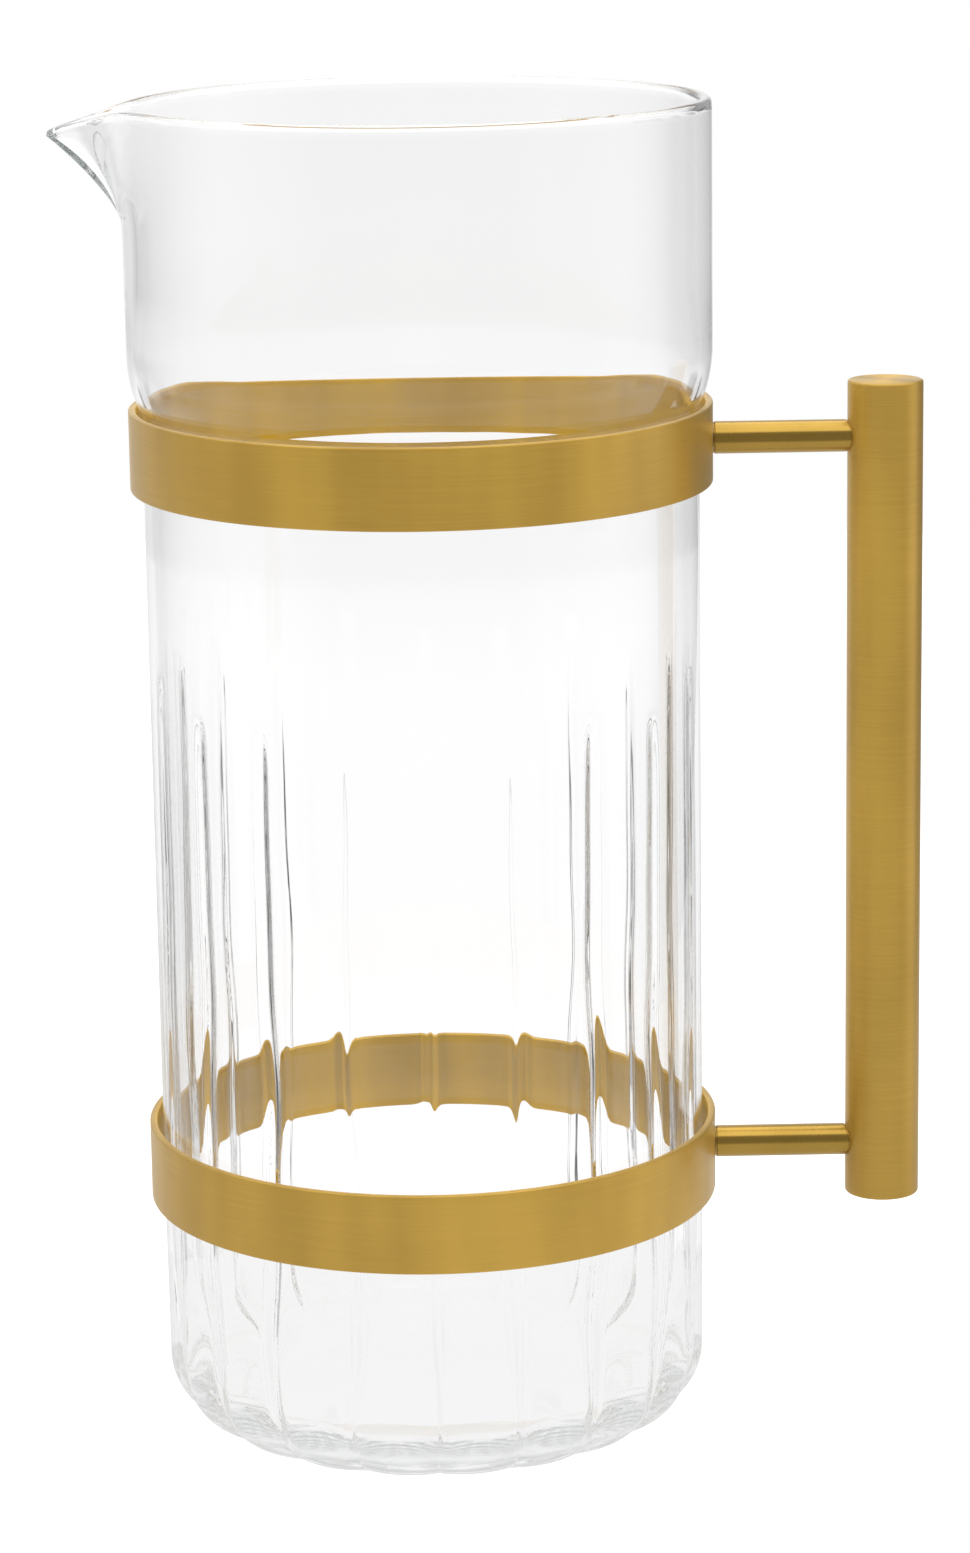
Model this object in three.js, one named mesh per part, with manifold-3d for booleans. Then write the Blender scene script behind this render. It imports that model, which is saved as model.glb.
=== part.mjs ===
// A wine carafe: a fluted glass vessel with a pulled pouring lip, gripped by two brass hoops.
// Two turned posts carry an upright handle bar on the hoops.
// Millimetres, +Z up. The origin is the centre of the base, the lip points to -X and the handle to +X.
import * as THREE from 'three';
import { mergeVertices } from 'three/addons/utils/BufferGeometryUtils.js';
import Module from 'manifold-3d';

const wasm = await Module();
wasm.setup();

// Glass vessel
const BODY_RADIUS = 47.7;
const WALL = 2.8;
const FLOOR_THICKNESS = 5;
const BASE_CORNER = 12;
const INNER_CORNER = 9;
const COLLAR_FLARE = 2.3;
const SHOULDER_RADIUS = 25;
const SHOULDER_LIFT = 0.8;
const COLLAR_HEIGHT = 40.4;

// Flutes: scallops inside the wall, lobes round the base edge
const FLUTE_COUNT = 20;
const FLUTE_DEPTH = 0.9;
const FLUTE_FULL_HEIGHT = 70;
const FLUTE_FADE_HEIGHT = 70;
const LOBE_DEPTH = 1.3;
const LOBE_FADE_HEIGHT = 30;

// Pouring lip
const SPOUT_REACH = 12.4;
const SPOUT_WIDTH = 50;
const SPOUT_HEIGHT = 19.3;
const SPOUT_DROP = 5.4;
const SPOUT_STRAIGHTNESS = 0.65;
const SPOUT_PINCH = 4;

// Brass frame
const LOWER_BAND_LIFT = 40.5;
const BAND_SPACING = 126.2;
const BAND_HEIGHT = 13.7;
const BAND_WALL = 1.3;
const BAND_CHAMFER = 0.25;
const FINGER_GAP = 23.2;
const POST_DIAMETER = 5.6;
const BAR_DIAMETER = 13;
const BAR_OVERHANG = 9.6;
const BAR_CHAMFER = 0.4;
const SOCKET_DEPTH = 3;

// Silicone liners
const LINER_THICKNESS = 0.6;
const LINER_INSET = 1.5;

// Screws and studs
const THREAD_DIAMETER = 3;
const SCREW_GRIP = 8;
const HEAD_LAND = 0.2;
const KEY_WIDTH = 2;
const KEY_DEPTH = 0.7;
const STUD_GRIP = 6;
const BAR_BACK_WALL = 4;

// Clearances
const GLASS_CLEARANCE = 0.3;
const LINER_GAP = 0.1;
const COPE_GAP = 0.2;
const SOCKET_GAP = 0.15;
const THREAD_GAP = 0.15;
const TIP_GAP = 0.3;

// Facets
const FLUTE_FACETS = 4;
const GLASS_FACETS = FLUTE_COUNT * FLUTE_FACETS;
const RING_FACETS = 72;
const BAR_FACETS = 48;
const POST_FACETS = 32;
const THREAD_FACETS = 24;
const KEY_FACETS = 6;
const CORNER_STEPS = 6;
const SHOULDER_STEPS = 4;
const SPOUT_STEPS = 5;
const LIP_STEPS = 4;
const FADE_STEPS = 4;
const WELD = 1e-4;
const OVERSHOOT = 2;

// Places that follow from the sizes above
const LINER_INNER = BODY_RADIUS + GLASS_CLEARANCE;
const LINER_OUTER = LINER_INNER + LINER_THICKNESS;
const BAND_INNER = LINER_OUTER + LINER_GAP;
const BAND_OUTER = BAND_INNER + BAND_WALL;
const UPPER_BAND_LIFT = LOWER_BAND_LIFT + BAND_SPACING;
const SHOULDER_BOTTOM = UPPER_BAND_LIFT + BAND_HEIGHT + SHOULDER_LIFT;
const COLLAR_RADIUS = BODY_RADIUS + COLLAR_FLARE;
const COLLAR_BOTTOM = SHOULDER_BOTTOM + SHOULDER_RADIUS * Math.sin(shoulderAngle(SHOULDER_RADIUS));
const GLASS_HEIGHT = COLLAR_BOTTOM + COLLAR_HEIGHT;
const LIP_RADIUS = WALL / 2;
const LIP_CENTRE_Z = GLASS_HEIGHT - LIP_RADIUS;
const SPOUT_FOOT = GLASS_HEIGHT - SPOUT_HEIGHT;
const SPOUT_HALF_ANGLE = Math.asin(SPOUT_WIDTH / 2 / COLLAR_RADIUS);
const BAR_RADIUS = BAR_DIAMETER / 2;
const BAR_X = BAND_OUTER + FINGER_GAP + BAR_RADIUS;
const BAR_NEAR_X = BAR_X - BAR_RADIUS;
const BAR_LENGTH = BAND_SPACING + 2 * BAR_OVERHANG;
const POST_RADIUS = POST_DIAMETER / 2;
const POST_END_X = BAR_NEAR_X + SOCKET_DEPTH;
const LOWER_POST_Z = LOWER_BAND_LIFT + BAND_HEIGHT / 2;
const UPPER_POST_Z = LOWER_POST_Z + BAND_SPACING;
const THREAD_RADIUS = THREAD_DIAMETER / 2;
const TAPPED_RADIUS = THREAD_RADIUS + THREAD_GAP;
const HEAD_DEPTH = BAND_WALL - HEAD_LAND;
const HEAD_RADIUS = THREAD_RADIUS + HEAD_DEPTH;
const SCREW_TIP_X = BAND_OUTER + SCREW_GRIP;
const STUD_START_X = POST_END_X - STUD_GRIP;
const STUD_BORE_END_X = BAR_X + BAR_RADIUS - BAR_BACK_WALL;
const STUD_END_X = STUD_BORE_END_X - TIP_GAP;

const BRASS = new THREE.MeshStandardMaterial({ color: 0xb08a3c, roughness: 0.36, metalness: 1 });
const GLASS = new THREE.MeshStandardMaterial({
  color: 0xf4f7f6, roughness: 0.04, metalness: 0, transparent: true, opacity: 0.35,
});
const SILICONE = new THREE.MeshStandardMaterial({
  color: 0xe8eae7, roughness: 0.55, metalness: 0, transparent: true, opacity: 0.6,
});
const STEEL = new THREE.MeshStandardMaterial({ color: 0x9c9c9a, roughness: 0.4, metalness: 1 });

// Angle of the shoulder arc at the neck, for an arc that ends upright on the collar.
function shoulderAngle(radius) {
  return Math.acos(1 - COLLAR_FLARE / radius);
}

function point(r, z) {
  return new THREE.Vector2(r, z);
}

function arc(centreR, centreZ, radius, from, to, steps) {
  return new THREE.EllipseCurve(centreR, centreZ, radius, radius, from, to, to < from).getPoints(steps);
}

function line(start, end, steps) {
  return new THREE.LineCurve(start, end).getPoints(steps);
}

// Revolves an (r, z) outline about Z. Outlines run up the outside, so faces point outwards.
function revolve(outline, facets) {
  return new THREE.LatheGeometry(outline, facets).rotateX(Math.PI / 2);
}

// Turns a geometry into a solid for cutting: shared corners merged, collapsed triangles dropped.
function toSolid(geometry) {
  const bare = geometry.clone();
  bare.deleteAttribute('normal');
  bare.deleteAttribute('uv');
  const welded = mergeVertices(bare, WELD);
  const triVerts = [];
  for (let i = 0; i < welded.index.count; i += 3) {
    const [a, b, c] = [0, 1, 2].map((k) => welded.index.getX(i + k));
    if (a !== b && b !== c && c !== a) triVerts.push(a, b, c);
  }
  return new wasm.Manifold(new wasm.Mesh({
    numProp: 3,
    vertProperties: new Float32Array(welded.attributes.position.array),
    triVerts: new Uint32Array(triVerts),
  }));
}

function toGeometry(solid) {
  const mesh = solid.getMesh();
  const geometry = new THREE.BufferGeometry();
  geometry.setAttribute('position', new THREE.BufferAttribute(mesh.vertProperties, 3));
  geometry.setIndex(new THREE.BufferAttribute(mesh.triVerts, 1));
  geometry.computeVertexNormals();
  return geometry;
}

function cut(geometry, ...cutters) {
  return toGeometry(cutters.reduce((solid, cutter) => solid.subtract(toSolid(cutter)), toSolid(geometry)));
}

// A turned piece that lies along X: the outline is (r, x), listed from low x to high x.
function turnAlongX(outline, facets, height) {
  return new THREE.LatheGeometry(outline, facets).rotateZ(-Math.PI / 2).translate(0, 0, height);
}

// Height shares of the flutes and of the base lobes: 1 at the bottom, 0 where they have faded out.
function fluteShare(z) {
  return 1 - THREE.MathUtils.smoothstep(z, FLUTE_FULL_HEIGHT, FLUTE_FULL_HEIGHT + FLUTE_FADE_HEIGHT);
}

function lobeShare(z) {
  return 1 - THREE.MathUtils.smoothstep(z, 0, LOBE_FADE_HEIGHT);
}

// 1 on the ridge between two flutes, falling as a parabola to 0 in the middle of a flute.
function ridgeShare(angle) {
  const phase = (angle * FLUTE_COUNT) / (2 * Math.PI);
  const offset = 2 * (phase - Math.floor(phase)) - 1;
  return offset * offset;
}

// The pouring lip in plan, pinched to a narrow beak at -X: 0 where it leaves the collar, 1 at the tip.
function spoutShare(angle) {
  const off = Math.abs(angle - Math.PI) / SPOUT_HALF_ANGLE;
  return Math.max(0, 1 - off) ** SPOUT_PINCH;
}

// Moves a point of the plain revolved vessel to its place on the fluted, spouted one.
function shapeGlass(r, z, inner, angle) {
  const depth = inner ? FLUTE_DEPTH * fluteShare(z) : LOBE_DEPTH * lobeShare(z);
  const fluted = r * (1 - (depth * ridgeShare(angle)) / BODY_RADIUS);
  const climb = THREE.MathUtils.clamp((z - SPOUT_FOOT) / (LIP_CENTRE_Z - SPOUT_FOOT), 0, 1);
  const lean = climb * THREE.MathUtils.lerp(climb, 1, SPOUT_STRAIGHTNESS);
  const share = spoutShare(angle);
  const radius = fluted + SPOUT_REACH * share * lean;
  const height = z - SPOUT_DROP * share * climb;
  return new THREE.Vector3(radius * Math.cos(angle), radius * Math.sin(angle), height);
}

// The vessel's outer outline from the base's centre up to the lip.
function glassOutside() {
  const corner = BODY_RADIUS - BASE_CORNER;
  return [
    point(0, 0),
    ...arc(corner, BASE_CORNER, BASE_CORNER, -Math.PI / 2, 0, CORNER_STEPS),
    point(BODY_RADIUS, LOBE_FADE_HEIGHT),
    ...arc(COLLAR_RADIUS - SHOULDER_RADIUS, COLLAR_BOTTOM, SHOULDER_RADIUS,
      -shoulderAngle(SHOULDER_RADIUS), 0, SHOULDER_STEPS),
    ...line(point(COLLAR_RADIUS, SPOUT_FOOT), point(COLLAR_RADIUS, LIP_CENTRE_Z), SPOUT_STEPS),
  ];
}

// The outline over the round lip and down the inside to the floor's centre.
function glassInside() {
  const innerRadius = BODY_RADIUS - WALL;
  const innerCollar = COLLAR_RADIUS - WALL;
  const innerShoulder = SHOULDER_RADIUS - WALL;
  const fadeTop = FLUTE_FULL_HEIGHT + FLUTE_FADE_HEIGHT;
  const cornerZ = FLOOR_THICKNESS + INNER_CORNER;
  return [
    ...arc(COLLAR_RADIUS - LIP_RADIUS, LIP_CENTRE_Z, LIP_RADIUS, 0, Math.PI, LIP_STEPS).slice(1, -1),
    ...line(point(innerCollar, LIP_CENTRE_Z), point(innerCollar, SPOUT_FOOT), SPOUT_STEPS),
    ...arc(COLLAR_RADIUS - SHOULDER_RADIUS, COLLAR_BOTTOM, innerShoulder,
      0, -shoulderAngle(innerShoulder), SHOULDER_STEPS),
    ...line(point(innerRadius, fadeTop), point(innerRadius, FLUTE_FULL_HEIGHT), FADE_STEPS),
    ...arc(innerRadius - INNER_CORNER, cornerZ, INNER_CORNER, 0, -Math.PI / 2, CORNER_STEPS),
    point(0, FLOOR_THICKNESS),
  ];
}

function glassBody() {
  const outside = glassOutside();
  const outline = [...outside, ...glassInside()];
  const geometry = revolve(outline, GLASS_FACETS);
  const position = geometry.attributes.position;
  for (let i = 0; i < position.count; i += 1) {
    const station = i % outline.length;
    const facet = Math.floor(i / outline.length) % GLASS_FACETS;
    const { x: r, y: z } = outline[station];
    const angle = (facet / GLASS_FACETS) * 2 * Math.PI;
    const place = shapeGlass(r, z, station >= outside.length, angle);
    position.setXYZ(i, place.x, place.y, place.z);
  }
  geometry.computeVertexNormals();
  return geometry;
}

// Countersunk seat for a screw head, with the shank's hole through the rest of the wall.
function screwSeat(height) {
  return turnAlongX([
    point(0, BAND_INNER - OVERSHOOT),
    point(HEAD_RADIUS + THREAD_GAP, BAND_INNER - OVERSHOOT),
    point(HEAD_RADIUS + THREAD_GAP, BAND_INNER),
    point(TAPPED_RADIUS, BAND_INNER + HEAD_DEPTH),
    point(TAPPED_RADIUS, BAND_OUTER + OVERSHOOT),
    point(0, BAND_OUTER + OVERSHOOT),
  ], THREAD_FACETS, height);
}

function band(lift, postZ) {
  const top = lift + BAND_HEIGHT;
  const hoop = revolve([
    point(BAND_OUTER - BAND_CHAMFER, lift),
    point(BAND_OUTER, lift + BAND_CHAMFER),
    point(BAND_OUTER, top - BAND_CHAMFER),
    point(BAND_OUTER - BAND_CHAMFER, top),
    point(BAND_INNER + BAND_CHAMFER, top),
    point(BAND_INNER, top - BAND_CHAMFER),
    point(BAND_INNER, lift + BAND_CHAMFER),
    point(BAND_INNER + BAND_CHAMFER, lift),
    point(BAND_OUTER - BAND_CHAMFER, lift),
  ], RING_FACETS);
  return cut(hoop, screwSeat(postZ));
}

function liner(lift) {
  const bottom = lift + LINER_INSET;
  const top = lift + BAND_HEIGHT - LINER_INSET;
  return revolve([
    point(LINER_OUTER, bottom),
    point(LINER_OUTER, top),
    point(LINER_INNER, top),
    point(LINER_INNER, bottom),
    point(LINER_OUTER, bottom),
  ], RING_FACETS);
}

// A post is a rod with a tapped hole in each end, coped to the round of its band.
function post(height) {
  const rod = turnAlongX([
    point(0, SCREW_TIP_X + TIP_GAP),
    point(TAPPED_RADIUS, SCREW_TIP_X + TIP_GAP),
    point(TAPPED_RADIUS, BAND_INNER),
    point(POST_RADIUS, BAND_INNER),
    point(POST_RADIUS, POST_END_X - TIP_GAP),
    point(TAPPED_RADIUS, POST_END_X - TIP_GAP),
    point(TAPPED_RADIUS, STUD_START_X - TIP_GAP),
    point(0, STUD_START_X - TIP_GAP),
  ], POST_FACETS, height);
  const cope = revolve([
    point(0, height - POST_DIAMETER),
    point(BAND_OUTER + COPE_GAP, height - POST_DIAMETER),
    point(BAND_OUTER + COPE_GAP, height + POST_DIAMETER),
    point(0, height + POST_DIAMETER),
  ], RING_FACETS);
  return cut(rod, cope);
}

function bandScrew(height) {
  const screw = turnAlongX([
    point(0, BAND_INNER),
    point(HEAD_RADIUS, BAND_INNER),
    point(THREAD_RADIUS, BAND_INNER + HEAD_DEPTH),
    point(THREAD_RADIUS, SCREW_TIP_X),
    point(0, SCREW_TIP_X),
  ], THREAD_FACETS, height);
  const key = turnAlongX([
    point(0, BAND_INNER - OVERSHOOT),
    point(KEY_WIDTH / 2, BAND_INNER - OVERSHOOT),
    point(KEY_WIDTH / 2, BAND_INNER + KEY_DEPTH),
    point(0, BAND_INNER + KEY_DEPTH),
  ], KEY_FACETS, height);
  return cut(screw, key);
}

function postStud(height) {
  return turnAlongX([
    point(0, STUD_START_X),
    point(THREAD_RADIUS, STUD_START_X),
    point(THREAD_RADIUS, STUD_END_X),
    point(0, STUD_END_X),
  ], THREAD_FACETS, height);
}

// Socket for a post's end in the bar, with the stud's tapped hole at its bottom.
function barSocket(height) {
  return turnAlongX([
    point(0, BAR_NEAR_X - OVERSHOOT),
    point(POST_RADIUS + SOCKET_GAP, BAR_NEAR_X - OVERSHOOT),
    point(POST_RADIUS + SOCKET_GAP, POST_END_X),
    point(TAPPED_RADIUS, POST_END_X),
    point(TAPPED_RADIUS, STUD_BORE_END_X),
    point(0, STUD_BORE_END_X),
  ], POST_FACETS, height);
}

function handleBar() {
  const bottom = LOWER_POST_Z - BAR_OVERHANG;
  const top = bottom + BAR_LENGTH;
  const bar = revolve([
    point(0, bottom),
    point(BAR_RADIUS - BAR_CHAMFER, bottom),
    point(BAR_RADIUS, bottom + BAR_CHAMFER),
    point(BAR_RADIUS, top - BAR_CHAMFER),
    point(BAR_RADIUS - BAR_CHAMFER, top),
    point(0, top),
  ], BAR_FACETS).translate(BAR_X, 0, 0);
  return cut(bar, barSocket(LOWER_POST_Z), barSocket(UPPER_POST_Z));
}

function piece(name, geometry, material) {
  const mesh = new THREE.Mesh(geometry, material);
  mesh.name = name;
  return mesh;
}

const frame = new THREE.Group();
for (const [end, lift, postZ] of [
  ['upper', UPPER_BAND_LIFT, UPPER_POST_Z],
  ['lower', LOWER_BAND_LIFT, LOWER_POST_Z],
]) {
  frame.add(
    piece(`${end}_band`, band(lift, postZ), BRASS),
    piece(`${end}_liner`, liner(lift), SILICONE),
    piece(`${end}_post`, post(postZ), BRASS),
    piece(`${end}_band_screw`, bandScrew(postZ), STEEL),
    piece(`${end}_post_stud`, postStud(postZ), STEEL),
  );
}
frame.add(piece('handle_bar', handleBar(), BRASS));

const carafe = new THREE.Group();
carafe.add(piece('glass_body', glassBody(), GLASS), frame);

export default carafe;
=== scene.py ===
"""Looks of the wine carafe: fluted glass, brushed brass frame, and the studio around them.

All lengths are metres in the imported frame: +Z up, the pouring lip at -X, the handle at +X.
"""
import logging
import math
from collections.abc import Sequence
from dataclasses import dataclass
from enum import Enum

import bpy
import numpy as np
from bpy.types import Material, Mesh, Node, NodeSocket, NodeTree, Object
from mathutils import Matrix, Vector


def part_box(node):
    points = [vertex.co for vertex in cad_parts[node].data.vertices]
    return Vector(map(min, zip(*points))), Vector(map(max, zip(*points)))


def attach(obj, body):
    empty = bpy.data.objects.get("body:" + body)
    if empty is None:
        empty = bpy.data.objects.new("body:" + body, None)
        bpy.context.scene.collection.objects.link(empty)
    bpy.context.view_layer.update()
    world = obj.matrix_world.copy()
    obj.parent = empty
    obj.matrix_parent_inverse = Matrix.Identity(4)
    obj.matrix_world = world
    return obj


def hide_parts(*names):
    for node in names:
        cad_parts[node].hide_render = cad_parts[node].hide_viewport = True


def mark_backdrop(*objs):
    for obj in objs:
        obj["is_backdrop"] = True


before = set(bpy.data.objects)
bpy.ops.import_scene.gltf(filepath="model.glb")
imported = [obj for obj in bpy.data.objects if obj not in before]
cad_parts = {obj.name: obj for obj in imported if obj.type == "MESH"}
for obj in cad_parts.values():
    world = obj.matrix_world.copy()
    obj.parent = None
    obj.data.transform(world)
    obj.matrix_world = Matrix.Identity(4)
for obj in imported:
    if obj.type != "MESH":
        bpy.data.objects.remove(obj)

LOG = logging.getLogger("carafe")
MM = 0.001
TURN = 2.0 * math.pi
UV_NAME = "turned"
Pair = tuple[float, float]
Triple = tuple[float, float, float]
Stops = Sequence[Pair]
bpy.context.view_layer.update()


class Ends(Enum):
    """How the first and last rows of a grid are closed."""

    POLES = "each end closes on a centre point"
    LOOP = "the last row joins the first"


class Axis(Enum):
    """The axis that a turned piece was spun about on the lathe."""

    X = 0
    Z = 2


def smoothstep(value: np.ndarray, low: float, high: float) -> np.ndarray:
    """Cubic step of a value: 0 up to low, 3t^2 - 2t^3 between, 1 from high on."""
    t = np.clip((value - low) / (high - low), 0.0, 1.0)
    return t * t * (3.0 - 2.0 * t)


def line(start: Pair, end: Pair, steps: int) -> np.ndarray:
    """Straight run of profile points, start and end included.

    Args:
        start: First (r, z).
        end: Last (r, z).
        steps: Number of spans.

    Returns:
        Array of steps + 1 points.
    """
    t = np.linspace(0.0, 1.0, steps + 1)[:, None]
    return np.asarray(start) * (1.0 - t) + np.asarray(end) * t


def arc(centre: Pair, radius: float, start: float, end: float, steps: int) -> np.ndarray:
    """Round run of profile points: centre + radius (cos a, sin a), a from start to end.

    Args:
        centre: Centre (r, z).
        radius: Radius of the arc.
        start: First angle in radians.
        end: Last angle in radians.
        steps: Number of spans.

    Returns:
        Array of steps + 1 points.
    """
    a = np.linspace(start, end, steps + 1)
    return np.stack([centre[0] + radius * np.cos(a), centre[1] + radius * np.sin(a)], axis=1)


def join(*runs: np.ndarray) -> np.ndarray:
    """Chains runs of profile points and drops points that repeat the one before.

    Args:
        *runs: Point arrays in order.

    Returns:
        One array of points.
    """
    points = np.concatenate(runs)
    step = np.linalg.norm(np.diff(points, axis=0), axis=1)
    return points[np.concatenate([[True], step > 1e-7])]


def ring_faces(rows: int, cols: int, ends: Ends) -> tuple[np.ndarray, np.ndarray]:
    """Corner indices of a grid that is wrapped around its columns.

    Args:
        rows: Number of rings.
        cols: Points in each ring.
        ends: How the first and last ring are closed.

    Returns:
        Quads of the wall, and triangles of the two end fans, which are empty for a loop.
    """
    span = rows if ends is Ends.LOOP else rows - 1
    i, j = np.meshgrid(np.arange(span), np.arange(cols), indexing="ij")
    above, beside = (i + 1) % rows, (j + 1) % cols
    quads = np.stack([i * cols + j, i * cols + beside, above * cols + beside, above * cols + j], -1)
    if ends is Ends.LOOP:
        return quads.reshape(-1, 4), np.empty((0, 3), int)
    k = np.arange(cols)
    after = (k + 1) % cols
    first, last = rows * cols, rows * cols + 1
    top = (rows - 1) * cols
    low = np.stack([np.full(cols, first), after, k], -1)
    high = np.stack([np.full(cols, last), top + k, top + after], -1)
    return quads.reshape(-1, 4), np.concatenate([low, high])


def add_object(name: str, data: bpy.types.ID) -> Object:
    """Makes an object of a mesh, a lamp or a lens and links it into the scene.

    Args:
        name: Name of the object.
        data: What it shows.

    Returns:
        The linked object.
    """
    item = bpy.data.objects.new(name, data)
    bpy.context.scene.collection.objects.link(item)
    return item


def grid_piece(name: str, points: np.ndarray, ends: Ends) -> Object:
    """Mesh object from a grid of points that is wrapped around its columns.

    The UV map runs along the rows in u and around the columns in v, so u is the lathe's axis.

    Args:
        name: Object name.
        points: Array of rows x columns x 3. Rows run so that faces point outwards.
        ends: How the first and last row are closed.

    Returns:
        The linked object, shaded smooth.
    """
    rows, cols, _ = points.shape
    quads, fans = ring_faces(rows, cols, ends)
    verts = points.reshape(-1, 3)
    if ends is Ends.POLES:
        verts = np.concatenate([verts, points[0].mean(0)[None], points[-1].mean(0)[None]])
    corners = np.concatenate([quads.ravel(), fans.ravel()])
    sizes = np.concatenate([np.full(len(quads), 4), np.full(len(fans), 3)])
    mesh = bpy.data.meshes.new(name)
    mesh.vertices.add(len(verts))
    mesh.vertices.foreach_set("co", verts.astype(np.float32).ravel())
    mesh.loops.add(len(corners))
    mesh.loops.foreach_set("vertex_index", corners.astype(np.int32))
    mesh.polygons.add(len(sizes))
    starts = np.concatenate([[0], np.cumsum(sizes)[:-1]])
    mesh.polygons.foreach_set("loop_start", starts.astype(np.int32))
    mesh.polygons.foreach_set("use_smooth", np.ones(len(sizes), bool))
    mesh.update(calc_edges=True)
    mesh.validate()
    lay_uv(mesh, corners, sizes, (rows, cols))
    return add_object(name, mesh)


def lay_uv(mesh: Mesh, corners: np.ndarray, sizes: np.ndarray, shape: tuple[int, int]) -> None:
    """UV of a wrapped grid: u = row / rows, v = column / columns, with v running past 1 at the seam.

    Args:
        mesh: Mesh whose first vertices are the grid.
        corners: Vertex of each face corner.
        sizes: Corners of each face.
        shape: Rows and columns of the grid.
    """
    rows, cols = shape
    row = np.minimum(corners // cols, rows - 1)
    col = corners % cols
    face = np.repeat(np.arange(len(sizes)), sizes)
    widest = np.zeros(len(sizes), int)
    np.maximum.at(widest, face, col)
    wrapped = (widest[face] == cols - 1) & (col == 0)
    uv = np.stack([row / rows, (col + cols * wrapped) / cols], -1)
    layer = mesh.uv_layers.new(name=UV_NAME)
    layer.data.foreach_set("uv", uv.astype(np.float32).ravel())


def revolve(profile: np.ndarray, angles: np.ndarray,
            centre: Pair = (0.0, 0.0)) -> np.ndarray:
    """Spins an (r, z) profile about an upright axis: (cx + r cos a, cy + r sin a, z).

    Args:
        profile: Points of the outline, in rows.
        angles: Angles of the columns in radians.
        centre: The axis's x and y.

    Returns:
        Grid of points.
    """
    r, z = profile[:, :1], profile[:, 1:]
    a = angles[None, :]
    height = np.broadcast_to(z, (len(profile), len(angles)))
    return np.stack([centre[0] + r * np.cos(a), centre[1] + r * np.sin(a), height], -1)


def ring_outline(radii: Pair, levels: Pair, edge: float, steps: int,
                 spans: tuple[int, int]) -> np.ndarray:
    """Closed (r, z) outline of a ring, up the outside and down the inside, with rounded edges.

    Args:
        radii: Inner and outer radius.
        levels: Bottom and top.
        edge: Radius of the edges.
        steps: Spans of each edge.
        spans: Spans of the outside and of the inside.

    Returns:
        Array of points.
    """
    (inner, outer), (bottom, top), e = radii, levels, edge
    return join(
        arc((outer - e, bottom + e), e, -math.pi / 2, 0.0, steps),
        line((outer, bottom + e), (outer, top - e), spans[0]),
        arc((outer - e, top - e), e, 0.0, math.pi / 2, steps),
        arc((inner + e, top - e), e, math.pi / 2, math.pi, steps),
        line((inner, top - e), (inner, bottom + e), spans[1]),
        arc((inner + e, bottom + e), e, math.pi, 1.5 * math.pi, steps),
    )


def even_angles(count: int) -> np.ndarray:
    """Angles that share a full turn evenly."""
    return np.arange(count) * TURN / count


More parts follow.
